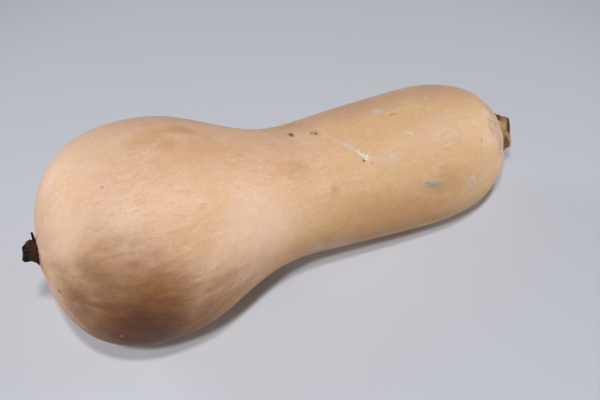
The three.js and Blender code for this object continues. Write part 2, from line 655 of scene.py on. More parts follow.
@dataclass
class Effects:
    """The shared node groups, built once for this fruit."""

    form: FruitForm
    grain: bpy.types.NodeTree = field(init=False)
    drawn: bpy.types.NodeTree = field(init=False)
    mottle: bpy.types.NodeTree = field(init=False)
    specks: bpy.types.NodeTree = field(init=False)
    ragged: bpy.types.NodeTree = field(init=False)

    def __post_init__(self) -> None:
        """Builds every group."""
        self.grain = self.build_grain()
        self.drawn = self.build_drawn()
        self.mottle = self.build_mottle()
        self.specks = self.build_specks()
        self.ragged = self.build_ragged()

    def build_grain(self) -> bpy.types.NodeTree:
        """Streaks that run lengthwise over the fruit and crowd together at its ends.

        Returns:
            The group. Its Streaks lie around 0.5.
        """
        effect = Effect(
            "Lengthwise Grain",
            {"Vector": None, "Along": 20.0, "Around": 30.0, "Detail": 3.0, "Roughness": 0.5},
            "Streaks",
        )
        wiring = effect.wiring
        offset = wiring.vectors("SUBTRACT", effect.start["Vector"], self.form.lying.translation)
        turn = {"Vector": offset, "Angle": -self.form.lying.to_euler().y}
        level = wiring.node("ShaderNodeVectorRotate", turn, rotation_type="Y_AXIS").outputs[0]
        parts = wiring.node("ShaderNodeSeparateXYZ", {0: level}).outputs
        flat = wiring.node("ShaderNodeCombineXYZ", {"Y": parts["Y"], "Z": parts["Z"]}).outputs[0]
        turns = wiring.math("MULTIPLY", effect.start["Around"], 1 / FULL_TURN)
        size = {0: wiring.vectors("NORMALIZE", flat), "Scale": turns}
        ring = wiring.node("ShaderNodeVectorMath", size, operation="SCALE").outputs[0]
        run = wiring.math("MULTIPLY", parts["X"], effect.start["Along"])
        line = wiring.node("ShaderNodeCombineXYZ", {"X": run}).outputs[0]
        course = wiring.vectors("ADD", ring, line)
        return effect.finish(wiring.noise(course, 1.0, effect.start["Detail"], effect.start["Roughness"]))

    def build_drawn(self) -> bpy.types.NodeTree:
        """Clouds that are drawn out lengthwise.

        Returns:
            The group. Its Clouds lie around 0.5.
        """
        effect = Effect(
            "Drawn Clouds",
            {"Vector": None, "Per Metre": 40.0, "Shrink": 0.5, "Detail": 4.0, "Roughness": 0.6, "Warp": 0.0},
            "Clouds",
        )
        start = effect.start
        shrink = effect.wiring.node("ShaderNodeCombineXYZ", {"X": start["Shrink"], "Y": 1.0, "Z": 1.0})
        drawn = effect.wiring.vectors("MULTIPLY", start["Vector"], shrink.outputs[0])
        settings = (start["Per Metre"], start["Detail"], start["Roughness"], start["Warp"])
        return effect.finish(effect.wiring.noise(drawn, *settings))

    def build_mottle(self) -> bpy.types.NodeTree:
        """Soft blotches of any size.

        Returns:
            The group. Its Mask is 0 between the blotches and 1 inside them.
        """
        effect = Effect(
            "Mottle",
            {"Vector": None, "Per Metre": 40.0, "Detail": 3.0, "From": 0.4, "To": 0.6, "Warp": 0.3},
            "Mask",
        )
        start = effect.start
        cloud = effect.wiring.noise(
            start["Vector"], start["Per Metre"], start["Detail"], warp=start["Warp"]
        )
        return effect.finish(effect.wiring.spread(cloud, start["From"], start["To"]))

    def build_specks(self) -> bpy.types.NodeTree:
        """Scattered small dots.

        Returns:
            The group. Its Mask is 1 in the middle of a dot.
        """
        effect = Effect("Specks", {"Vector": None, "Per Metre": 300.0, "Size": 0.25, "Share": 0.3}, "Mask")
        wiring = effect.wiring
        inputs = {"Vector": effect.start["Vector"], "Scale": effect.start["Per Metre"]}
        cells = wiring.node("ShaderNodeTexVoronoi", inputs)
        chance = wiring.node("ShaderNodeSeparateColor", {0: cells.outputs["Color"]}).outputs
        size = wiring.math("MULTIPLY", effect.start["Size"], wiring.spread(chance[1], 0, 1, 0.4, 1))
        away = wiring.math("DIVIDE", cells.outputs["Distance"], size)
        inside = wiring.math("SUBTRACT", 1.0, away, clamp=True)
        chosen = wiring.math("LESS_THAN", chance[0], effect.start["Share"])
        return effect.finish(wiring.math("MULTIPLY", wiring.spread(inside, 0, 0.6), chosen))

    def build_ragged(self) -> bpy.types.NodeTree:
        """Breaks a soft mask up, so that its edge is ragged and its middle is patchy.

        Returns:
            The group. Its Mask is the broken mask.
        """
        effect = Effect(
            "Ragged Edge",
            {"Mask": 0.0, "Vector": None, "Per Metre": 500.0, "Strength": 0.6, "Softness": 0.25},
            "Mask",
        )
        wiring = effect.wiring
        cloud = wiring.noise(effect.start["Vector"], effect.start["Per Metre"], detail=4.0, roughness=0.6)
        swing = wiring.math("MULTIPLY", wiring.swing(cloud, effect.start["Strength"]), 2.0)
        shifted = wiring.math("ADD", effect.start["Mask"], swing)
        full = wiring.math("ADD", effect.start["Softness"], RAGGED_FROM)
        mask = wiring.spread(shifted, RAGGED_FROM, full)
        present = wiring.spread(effect.start["Mask"], 0.0, 0.15)
        return effect.finish(wiring.math("MULTIPLY", mask, present))


@dataclass(frozen=True)
class Surface:
    """What a finish hands to its shader. The depth of its relief is in millimetres."""

    colour: Socket
    roughness: Socket
    height: Socket
    depth: float
    specular: float
    cover: Number = 1.0


def dress(name: str, wiring: Wiring, surface: Surface) -> None:
    """Ends a material: one shader with the finish's colour, roughness and relief.

    Args:
        name: The shader's label.
        wiring: The material's nodes.
        surface: What the finish worked out.
    """
    bump = wiring.node(
        "ShaderNodeBump", {"Height": surface.height, "Distance": surface.depth * MM, "Strength": 1.0}
    )
    shader = wiring.node(
        "ShaderNodeBsdfPrincipled",
        {
            "Base Color": surface.colour,
            "Roughness": surface.roughness,
            "Normal": bump.outputs[0],
            "Specular IOR Level": surface.specular,
            "Alpha": surface.cover,
        },
        label=name,
    )
    wiring.node("ShaderNodeOutputMaterial", {"Surface": shader.outputs[0]})


def new_material(name: str) -> tuple[bpy.types.Material, Wiring]:
    """An empty material.

    Args:
        name: The material's name.

    Returns:
        The material and the wiring of its nodes.
    """
    material = bpy.data.materials.new(name)
    material.use_nodes = True
    material.node_tree.nodes.clear()
    return material, Wiring(material.node_tree)


# ---------------------------------------------------------------------------------------------------------
# The rind
# ---------------------------------------------------------------------------------------------------------


class MarkKind(Enum):
    """What a mark on the rind is. Each value is the name of the mesh value that holds it."""

    # Brown patch on the bulb's lower side: partly staining, partly painted shade.
    STAIN_AND_SHADE = "stain_and_shade"
    # Grey-brown smudges, and painted shade on the bulb's lower side and on the shoulder by the stem.
    SMUDGE_AND_SHADE = "smudge_and_shade"
    # Orange-brown skin on the top, and painted shade on the lower side of the bulb, the waist and the neck.
    BLUSH_AND_SHADE = "blush_and_shade"
    # Darker pink skin, partly painted shade along the far top edge.
    ROSE_AND_SHADE = "rose_and_shade"
    # Paler skin, partly painted light on the lit left rim and the lit neck end.
    BLOOM = "bloom_and_light"
    SCUFF = "scuff"
    CORK = "cork"
    CRUST = "crust"
    SPOT = "spot"


@dataclass(frozen=True)
class Mark:
    """A mark on the rind.

    Its place is a distance along the fruit in millimetres and an angle around it in degrees. Its length and
    width are in millimetres from its middle to its edge, and it is turned by an angle in degrees.
    """

    kind: MarkKind
    along: float
    around: float
    length: float
    width: float
    turned: float = 0.0
    strength: float = 1.0
    raised: float = 0.0


MARKS = (
    # The brown lower side of the bulb, partly staining and partly painted shade, and tanned skin on its top,
    # at the waist and on the neck, with painted shade on the lower side of the waist and the neck.
    Mark(MarkKind.STAIN_AND_SHADE, 34, 192, 34, 48),
    Mark(MarkKind.STAIN_AND_SHADE, 61, 197, 43, 34, 0, 0.68),
    Mark(MarkKind.STAIN_AND_SHADE, 14, 180, 26, 28, 0, 0.64),
    Mark(MarkKind.STAIN_AND_SHADE, 76, 206, 22, 16, 0, 0.5),
    # Grey-violet smudges in the brown patch, partly painted shade.
    Mark(MarkKind.SMUDGE_AND_SHADE, 20, 156, 18, 13, 20, 0.85),
    Mark(MarkKind.SMUDGE_AND_SHADE, 44, 147, 14, 8, 0, 0.42),
    # The marks of this kind at 187 to 198 degrees lie on the lower side and are painted shade; the ones
    # higher up are tanned skin.
    Mark(MarkKind.BLUSH_AND_SHADE, 172, 187, 56, 25, 0, 0.97),
    Mark(MarkKind.BLUSH_AND_SHADE, 126, 190, 26, 18, 0, 0.6),
    Mark(MarkKind.BLUSH_AND_SHADE, 118, 106, 34, 34, 0, 0.6),
    Mark(MarkKind.BLUSH_AND_SHADE, 74, 79, 14, 7, 8, 0.95),
    Mark(MarkKind.BLUSH_AND_SHADE, 60, 72, 9, 8, 0, 0.6),
    Mark(MarkKind.BLUSH_AND_SHADE, 65, 92, 13, 12, 0, 0.8),
    Mark(MarkKind.BLUSH_AND_SHADE, 56, 84, 17, 12, 0, 0.75),
    Mark(MarkKind.BLUSH_AND_SHADE, 203, 161, 26, 15, 0, 0.75),
    Mark(MarkKind.BLUSH_AND_SHADE, 114, 198, 38, 20, 0, 0.8),
    Mark(MarkKind.BLUSH_AND_SHADE, 80, 94, 46, 26, 0, 0.66),
    Mark(MarkKind.BLUSH_AND_SHADE, 80, 196, 24, 16, 0, 0.7),
    # Pinker skin along the far side of the top, partly painted shade on that turned-away edge; paler skin on
    # the bulb, at the waist and at the stem, partly painted light on the lit rims.
    Mark(MarkKind.ROSE_AND_SHADE, 74, 60, 44, 16, 0, 0.85),
    Mark(MarkKind.ROSE_AND_SHADE, 178, 64, 50, 17, 0, 0.95),
    Mark(MarkKind.ROSE_AND_SHADE, 222, 72, 30, 18, 0, 0.95),
    Mark(MarkKind.ROSE_AND_SHADE, 134, 70, 30, 14, 0, 0.8),
    Mark(MarkKind.ROSE_AND_SHADE, 90, 182, 30, 16, 0, 0.35),
    Mark(MarkKind.BLOOM, 98, 149, 34, 20, 0, 0.85),
    Mark(MarkKind.BLOOM, 28, 104, 26, 22, 0, 0.55),
    Mark(MarkKind.BLOOM, 58, 124, 34, 14, 0, 0.55),
    # These three pale patches are painted light: two at the neck end and one on the bulb's left rim.
    Mark(MarkKind.BLOOM, 236, 166, 16, 20, 0, 0.5),
    Mark(MarkKind.BLOOM, 250, 186, 12, 14, 0, 0.6),
    Mark(MarkKind.BLOOM, 9, 118, 20, 17, 0, 0.9),
    # The two dark spots at the waist, and the scar across the neck with its crust.
    Mark(MarkKind.SPOT, 132, 80, 1.5, 2.3, 0, 0.95),
    Mark(MarkKind.SMUDGE_AND_SHADE, 132, 79, 3.2, 5.0, 0, 0.6),
    Mark(MarkKind.SPOT, 141.8, 84.5, 1.0, 1.6, 30, 0.7),
    Mark(MarkKind.SPOT, 144.2, 87.0, 1.1, 1.5, 0, 0.85),
    Mark(MarkKind.SMUDGE_AND_SHADE, 143.5, 85.5, 3.4, 3.4, 20, 0.65),
    Mark(MarkKind.SPOT, 148, 98, 1.1, 1.3, 0, 0.6),
    Mark(MarkKind.SCUFF, 137, 82, 4.6, 2.4, 10, 0.55),
    Mark(MarkKind.SCUFF, 147.5, 92.5, 5.0, 1.8, 50, 0.55),
    Mark(MarkKind.SCUFF, 152.5, 101.5, 5.5, 2.6, 50, 0.7, -0.12),
    Mark(MarkKind.SCUFF, 156.5, 109.5, 5.0, 2.6, 50, 0.85, -0.1),
    Mark(MarkKind.CRUST, 160.8, 118.0, 3.4, 1.2, 52, 0.95, 0.4),
    Mark(MarkKind.CRUST, 163, 122.5, 1.8, 1.9, 0, 1.0, 0.5),
    Mark(MarkKind.SCUFF, 166, 124.5, 3.4, 1.4, 40, 0.75),
    Mark(MarkKind.SPOT, 161.6, 124.6, 1.3, 0.7, 40, 0.9),
    Mark(MarkKind.SPOT, 165.6, 128.3, 0.9, 0.8, 0, 0.7),
    # Dry flecks and cork patches on the neck.
    Mark(MarkKind.SCUFF, 177, 128, 2.8, 2.6, 0, 1.0, 0.1),
    Mark(MarkKind.SCUFF, 183, 136.5, 4.6, 1.1, 20, 0.8, 0.1),
    Mark(MarkKind.SCUFF, 171, 131, 5.0, 1.0, 35, 0.5),
    Mark(MarkKind.CRUST, 191.2, 113.5, 2.2, 0.8, 35, 0.75, 0.2),
    Mark(MarkKind.CRUST, 189.8, 110.0, 1.0, 0.9, 0, 0.6, 0.2),
    Mark(MarkKind.SCUFF, 190.5, 111.5, 3.6, 3.0, 30, 0.7, 0.1),
    Mark(MarkKind.SCUFF, 181, 82.5, 4.2, 4.2, -10, 0.8),
    Mark(MarkKind.SPOT, 181.5, 84.5, 1.3, 0.8, 60, 0.6),
    Mark(MarkKind.SMUDGE_AND_SHADE, 188, 90.5, 4.4, 1.8, -10, 0.6),
    Mark(MarkKind.SCUFF, 190, 88, 5.5, 2.2, 0, 0.7),
    Mark(MarkKind.SCUFF, 211, 83, 3.0, 2.6, 0, 0.75),
    Mark(MarkKind.SCUFF, 221, 86, 4.2, 2.4, 0, 0.55),
    Mark(MarkKind.SPOT, 188.6, 101.5, 0.7, 0.7, 0, 0.6),
    Mark(MarkKind.SCUFF, 207, 120, 2.6, 2.2, 0, 0.55),
    Mark(MarkKind.SCUFF, 200, 146.0, 4.0, 3.0, 60, 0.65, 0.1),
    Mark(MarkKind.SCUFF, 197.6, 155.5, 6.0, 3.4, 0, 0.5, 0.1),
    Mark(MarkKind.CORK, 197.6, 158.3, 5.8, 2.4, 12, 0.9, 0.25),
    Mark(MarkKind.CORK, 201.2, 158.4, 2.6, 1.8, 0, 0.8, 0.2),
    Mark(MarkKind.SCUFF, 223.4, 165, 3.2, 5.0, 0, 0.85),
    Mark(MarkKind.SPOT, 223.6, 167.5, 1.1, 2.6, 0, 0.6, -0.2),
    # Faint rough patches.
    Mark(MarkKind.SCUFF, 176, 127, 15, 9, 20, 0.42),
    Mark(MarkKind.SMUDGE_AND_SHADE, 126, 116, 13, 7, 0, 0.6),
    Mark(MarkKind.SMUDGE_AND_SHADE, 122, 122, 26, 16, 0, 0.22),
    Mark(MarkKind.SMUDGE_AND_SHADE, 142.5, 143, 3.8, 5.4, 0, 0.6),
    Mark(MarkKind.SMUDGE_AND_SHADE, 152, 132, 5, 2.6, 0, 0.35),
    Mark(MarkKind.SMUDGE_AND_SHADE, 134, 63, 14, 9, 0, 0.66),
    Mark(MarkKind.SCUFF, 87, 138, 16, 7, 0, 0.44),
    Mark(MarkKind.SCUFF, 100, 150, 18, 9, 0, 0.46),
    # Small dots on the bulb.
    Mark(MarkKind.SPOT, 3.2, 178, 1.5, 1.3, 0, 1.0),
    Mark(MarkKind.SPOT, 32, 170, 1.3, 1.1, 0, 0.9),
    Mark(MarkKind.SPOT, 28.5, 105, 1.1, 1.0, 0, 0.8),
    Mark(MarkKind.SPOT, 55.5, 123, 2.0, 1.1, 30, 0.45),
    Mark(MarkKind.SCUFF, 24.5, 195, 1.1, 1.1, 0, 0.9),
    # Rough skin, smudges and cork lines on the shoulder by the stem, and painted shade on the shoulder.
    Mark(MarkKind.SCUFF, 243.8, 108, 3.6, 3.0, 40, 0.95),
    Mark(MarkKind.SCUFF, 248, 112, 3.0, 2.0, 40, 0.7),
    Mark(MarkKind.SMUDGE_AND_SHADE, 243.8, 117.6, 4.4, 2.3, 30, 0.8),
    Mark(MarkKind.SPOT, 244.8, 118.0, 3.8, 0.8, 20, 0.3, 0.1),
    Mark(MarkKind.SMUDGE_AND_SHADE, 248.0, 120.4, 4.0, 2.6, 20, 0.85),
    Mark(MarkKind.SMUDGE_AND_SHADE, 241.6, 121.5, 3.2, 2.0, 80, 0.7),
    Mark(MarkKind.SMUDGE_AND_SHADE, 242.8, 127.4, 3.8, 2.5, 60, 0.95),
    Mark(MarkKind.SPOT, 242.3, 126.6, 3.6, 0.9, 75, 0.3, 0.1),
    Mark(MarkKind.SPOT, 242.4, 127.0, 1.1, 0.8, 40, 0.45, 0.1),
    Mark(MarkKind.SMUDGE_AND_SHADE, 241.4, 133.0, 4.6, 3.6, 80, 0.6),
    # Painted shade: the broad dark smudge round the shoulder by the stem.
    Mark(MarkKind.SMUDGE_AND_SHADE, 249, 122, 11.0, 26, 0, 0.7),
    Mark(MarkKind.SMUDGE_AND_SHADE, 236, 118, 11, 15, 0, 0.3),
    Mark(MarkKind.SCUFF, 247.0, 130, 4.0, 2.6, 70, 0.5),
    Mark(MarkKind.SPOT, 227.4, 124.5, 0.9, 0.8, 0, 0.5),
    Mark(MarkKind.SMUDGE_AND_SHADE, 232.4, 134.0, 1.0, 2.4, 30, 0.75),
    Mark(MarkKind.SMUDGE_AND_SHADE, 248, 86, 10, 13, 0, 0.5),
    Mark(MarkKind.CORK, 250, 60, 4.5, 1.4, -60, 0.9, 0.25),
    Mark(MarkKind.CORK, 248, -20, 5.5, 1.2, 75, 0.9, 0.25),
    Mark(MarkKind.CORK, 247, -95, 5.0, 1.3, -70, 0.9, 0.25),
    # The side that faces away.
    Mark(MarkKind.BLUSH_AND_SHADE, 60, -8, 24, 14, 0, 0.7),
    Mark(MarkKind.BLUSH_AND_SHADE, 168, -6, 40, 14, 0, 0.6),
    Mark(MarkKind.ROSE_AND_SHADE, 120, 14, 44, 16, 0, 0.5),
    Mark(MarkKind.BLOOM, 70, 20, 30, 18, 0, 0.5),
    Mark(MarkKind.CRUST, 70, 22, 5.0, 2.6, 20, 0.9, 0.4),
    Mark(MarkKind.SCUFF, 79, 26, 8.0, 2.4, 20, 0.7, -0.12),
    Mark(MarkKind.SCUFF, 168, 12, 6.0, 2.0, -8, 0.6, 0.1),
    Mark(MarkKind.SMUDGE_AND_SHADE, 106, 34, 14, 6, 0, 0.55),
    Mark(MarkKind.CORK, 204, 24, 6.5, 2.2, 12, 0.9, 0.25),
    Mark(MarkKind.SPOT, 44, 46, 1.6, 1.3, 0, 0.9),
    Mark(MarkKind.SPOT, 150, -16, 1.5, 1.2, 0, 0.8),
    Mark(MarkKind.SPOT, 118, 20, 1.3, 1.1, 0, 0.8),
    Mark(MarkKind.SPOT, 222, 40, 1.6, 1.4, 0, 0.8),
)


@dataclass(frozen=True)
class Paint:
    """How the marks of one kind look.

    They have two colours in grains of one size, a cover, and an edge that is more or less broken and soft.
    Dry marks are rough and crumbly.
    """

    kind: MarkKind
    tone: Colour
    grit: Colour
    grains: float
    broken: float
    soft: float
    cover: float = 1.0
    dry: bool = False


@dataclass(frozen=True)
class Tone:
    """A colour that comes up as a value goes from start to end, where it has its full share."""

    colour: Colour
    start: float
    end: float
    share: float

    def amount(self, wiring: Wiring, value: Socket) -> Socket:
        """How much of the colour shows."""
        return wiring.spread(value, self.start, self.end, 0.0, self.share)


@dataclass(frozen=True)
class RindNodes:
    """The rind's material while it is built: its nodes, the shared groups and both kinds of coordinates."""

    wiring: Wiring
    effects: Effects
    place: Socket
    course: Socket


@dataclass(frozen=True)
class Clouds:
    """Clouds in the rind's colour, with tones on their crests and in their hollows.

    There are per_metre of them around the fruit, and fewer lengthwise by the factor shrink. Round clouds have
    no direction.
    """

    per_metre: float
    shrink: float
    detail: float
    warp: float = 0.0
    tones: tuple[Tone, ...] = ()
    roughness: float = 0.6
    is_round: bool = False

    def value(self, nodes: RindNodes) -> Socket:
        """The clouds' value, which lies around 0.5.

        Args:
            nodes: The rind's nodes.

        Returns:
            The value's socket.
        """
        inputs = {
            "Vector": nodes.place if self.is_round else nodes.course,
            "Per Metre": self.per_metre,
            "Shrink": self.shrink,
            "Detail": self.detail,
            "Roughness": self.roughness,
            "Warp": self.warp,
        }
        return nodes.wiring.group(nodes.effects.drawn, inputs)

    def over(self, nodes: RindNodes, colour: Socket, within: Number = 1.0) -> Socket:
        """Lays the tones over a colour.

        Args:
            nodes: The rind's nodes.
            colour: The colour below.
            within: A mask of where they show.

        Returns:
            The new colour's socket.
        """
        value = self.value(nodes)
        for tone in self.tones:
            share = nodes.wiring.math("MULTIPLY", tone.amount(nodes.wiring, value), within)
            colour = nodes.wiring.blend(share, colour, tone.colour)
        return colour


@dataclass(frozen=True)
class RindFinish:
    """Waxy tan rind: clouds of pink and ochre, fine lengthwise streaks, a brown patch that is partly staining
    and partly painted shade, marks with painted light and shade, and dry marks.
    """

    peach: Colour = Colour(218, 179, 149)
    ochre: Colour = Colour(214, 174, 129)
    tan: Colour = Colour(204, 156, 108)
    bloom_and_light: Colour = Colour(230, 200, 176)
    fleck: Colour = Colour(204, 150, 98)
    rosy: Colour = Colour(222, 170, 156)
    olive: Colour = Colour(202, 178, 126)
    # The brown patch's colours: partly staining, partly painted shade on the lower side that faces away from
    # the lamps.
    stain_and_shade: Colour = Colour(129, 78, 36)
    stain_and_shade_deep: Colour = Colour(84, 42, 15)
    waxy: float = 0.6
    dry: float = 0.85
    specular: float = 0.38
    relief_depth: float = 0.12
    fibre_height: float = 0.15
    pore_depth: float = 0.12
    crust_height: float = 3.0
    strand_swing: float = 0.5
    thread_swing: float = 0.34
    patches: Clouds = Clouds(26.0, 0.6, 5.0)
    layers: tuple[Clouds, ...] = (
        Clouds(34.0, 0.5, 4.0, 0.4, (Tone(tan, 0.54, 0.74, 0.36), Tone(bloom_and_light, 0.46, 0.28, 0.34))),
        Clouds(80.0, 0.5, 5.0, 0.6, (Tone(rosy, 0.52, 0.72, 0.34), Tone(olive, 0.48, 0.3, 0.2))),
        Clouds(160.0, 0.3, 4.0, 0.3, (Tone(tan, 0.52, 0.74, 0.24), Tone(bloom_and_light, 0.48, 0.3, 0.18))),
        Clouds(230.0, 1.0, 5.0, 0.4, (Tone(tan, 0.5, 0.7, 0.2), Tone(bloom_and_light, 0.46, 0.3, 0.2)), 0.65, True),
        Clouds(620.0, 1.0, 3.0, 0.3, (Tone(tan, 0.52, 0.7, 0.26), Tone(bloom_and_light, 0.46, 0.3, 0.3)), 0.6, True),
    )
    dashes: Clouds = Clouds(
        620.0, 0.22, 2.0, 0.0, (Tone(fleck, 0.55, 0.68, 0.5), Tone(bloom_and_light, 0.43, 0.3, 0.4))
    )
    strands: Clouds = Clouds(60.0, 0.4, 5.0, 0.4)
    threads: Clouds = Clouds(330.0, 0.35, 4.0, 0.3)
    paints: tuple[Paint, ...] = (
        # Grey-brown marks, and painted shade on the bulb and on the shoulder by the stem.
        Paint(MarkKind.SMUDGE_AND_SHADE, Colour(130, 99, 72), Colour(150, 118, 84), 140.0, 0.3, 0.7, 0.6),
        # Orange-brown skin, and painted shade on the lower side of the bulb, the waist and the neck.
        Paint(MarkKind.BLUSH_AND_SHADE, Colour(188, 134, 78), Colour(192, 142, 90), 120.0, 0.3, 0.75, 0.7),
        # Darker pink, partly painted shade along the top edge that turns away from the lamps.
        Paint(MarkKind.ROSE_AND_SHADE, Colour(190, 148, 126), Colour(188, 146, 118), 90.0, 0.3, 0.75, 0.65),
        # Paler skin, partly painted light where the lamps fall on the rims.
        Paint(MarkKind.BLOOM, Colour(234, 198, 170), Colour(228, 192, 162), 120.0, 0.35, 0.75, 0.6),
        Paint(MarkKind.SCUFF, Colour(222, 202, 190), Colour(206, 184, 164), 700.0, 0.25, 0.7, 0.75, True),
        Paint(MarkKind.CORK, Colour(142, 142, 112), Colour(198, 192, 164), 900.0, 0.4, 0.4, 0.9, True),
        Paint(MarkKind.CRUST, Colour(236, 226, 208), Colour(196, 178, 148), 700.0, 0.3, 0.3, 1.0, True),
        Paint(MarkKind.SPOT, Colour(74, 54, 41), Colour(104, 82, 66), 900.0, 0.2, 0.6),
    )

    def material(self, effects: Effects) -> bpy.types.Material:
        """Builds the material.

        Args:
            effects: The shared node groups.

        Returns:
            The rind's material.
        """
        material, wiring = new_material("waxy rind")
        nodes = RindNodes(wiring, effects, wiring.place(), wiring.course())
        colour = self.stained_and_shaded(nodes, self.ground(nodes))
        colour, dry = self.marked(nodes, colour)
        wax = wiring.noise(nodes.place, 55.0, detail=3.0)
        rough = wiring.spread(wax, 0.3, 0.7, self.waxy - 0.05, self.waxy + 0.06)
        rougher = wiring.math("MULTIPLY", dry, self.dry - self.waxy)
        rough = wiring.math("ADD", rough, rougher, clamp=True)
        surface = Surface(colour, rough, self.relief(nodes, dry), self.relief_depth, self.specular)
        dress("rind", wiring, surface)
        return material

    def relief(self, nodes: RindNodes, dry: Number) -> Socket:
        """The fine relief: clouds, fibres and pores, and crumbs where the skin is dry.

        Args:
            nodes: The rind's nodes.
            dry: The mask of the dry marks.

        Returns:
            The height's socket.
        """
        wiring = nodes.wiring
        pores = wiring.group(
            nodes.effects.specks, {"Vector": nodes.place, "Per Metre": 900.0, "Size": 0.4, "Share": 0.5}
        )
        fibres = wiring.group(
            nodes.effects.grain,
            {"Vector": nodes.place, "Along": 60.0, "Around": 220.0, "Detail": 4.0, "Roughness": 0.6},
        )
        height = wiring.noise(nodes.place, 260.0, detail=5.0, roughness=0.6)
        height = wiring.math("ADD", height, wiring.math("MULTIPLY", fibres, self.fibre_height))
        height = wiring.math("SUBTRACT", height, wiring.math("MULTIPLY", pores, self.pore_depth))
        crumbs = wiring.noise(nodes.place, 1400.0, detail=3.0, roughness=0.7)
        crumbs = wiring.math("MULTIPLY", crumbs, dry)
        return wiring.math("ADD", height, wiring.math("MULTIPLY", crumbs, self.crust_height))

    def ground(self, nodes: RindNodes) -> Socket:
        """The rind's own colour, before any mark. The neck is a little more ochre than the bulb.

        Args:
            nodes: The rind's nodes.

        Returns:
            The colour's socket.
        """
        wiring = nodes.wiring
        across = wiring.node("ShaderNodeSeparateXYZ", {0: nodes.place}).outputs["X"]
        past_waist = wiring.spread(across, -0.03, 0.03, 0.0, 0.2)
        before_stem = wiring.spread(across, 0.128, 0.098)
        neck = wiring.math("MULTIPLY", past_waist, before_stem)
        share = wiring.spread(wiring.math("ADD", self.patches.value(nodes), neck), 0.48, 0.7)
        colour = wiring.blend(share, self.peach, self.ochre)
        for clouds in self.layers:
            colour = clouds.over(nodes, colour)
        inputs = {"Vector": nodes.place, "Per Metre": 24.0, "From": 0.4, "To": 0.62}
        return self.dashes.over(nodes, colour, wiring.group(nodes.effects.mottle, inputs))

    def stained_and_shaded(self, nodes: RindNodes, colour: Socket) -> Socket:
        """Lays the brown patch over the rind, partly staining and partly painted shade on the bulb's lower
        side. Strands and threads break up its edge and its depth.

        Args:
            nodes: The rind's nodes.
            colour: The colour below.

        Returns:
            The new colour's socket.
        """
        wiring = nodes.wiring
        strands = wiring.swing(self.strands.value(nodes), self.strand_swing)
        threads = wiring.swing(self.threads.value(nodes), self.thread_swing)
        stain_and_shade = wiring.mark(MarkKind.STAIN_AND_SHADE.value)
        change = wiring.math("MULTIPLY", wiring.math("ADD", strands, threads), wiring.spread(stain_and_shade, 0.0, 0.4))
        depth = wiring.math("ADD", stain_and_shade, change)
        # Painted shade mixed with staining: the bulb's lower side darkened to brown.
        light = wiring.blend(wiring.spread(depth, 0.08, 0.72, 0.0, 0.9), colour, self.stain_and_shade)
        return wiring.blend(wiring.spread(depth, 0.56, 1.02, 0.0, 0.9), light, self.stain_and_shade_deep)

    def marked(self, nodes: RindNodes, colour: Socket) -> tuple[Socket, Number]:
        """Paints the marks that the mesh holds.

        Args:
            nodes: The rind's nodes.
            colour: The colour below.

        Returns:
            The colour with the marks, and a mask of the dry ones.
        """
        wiring = nodes.wiring
        dry: Number = 0.0
        for paint in self.paints:
            inputs = {
                "Mask": wiring.mark(paint.kind.value),
                "Vector": nodes.place,
                "Per Metre": paint.grains,
                "Strength": paint.broken,
                "Softness": paint.soft,
            }
            ragged = wiring.group(nodes.effects.ragged, inputs)
            grit = wiring.noise(nodes.place, paint.grains * 1.7, detail=3.0, roughness=0.6)
            grit = wiring.spread(grit, 0.42, 0.62)
            shade = wiring.blend(grit, paint.tone, paint.grit)
            colour = wiring.blend(wiring.math("MULTIPLY", ragged, paint.cover), colour, shade)
            if paint.dry:
                dry = wiring.math("MAXIMUM", dry, ragged)
        return colour, dry


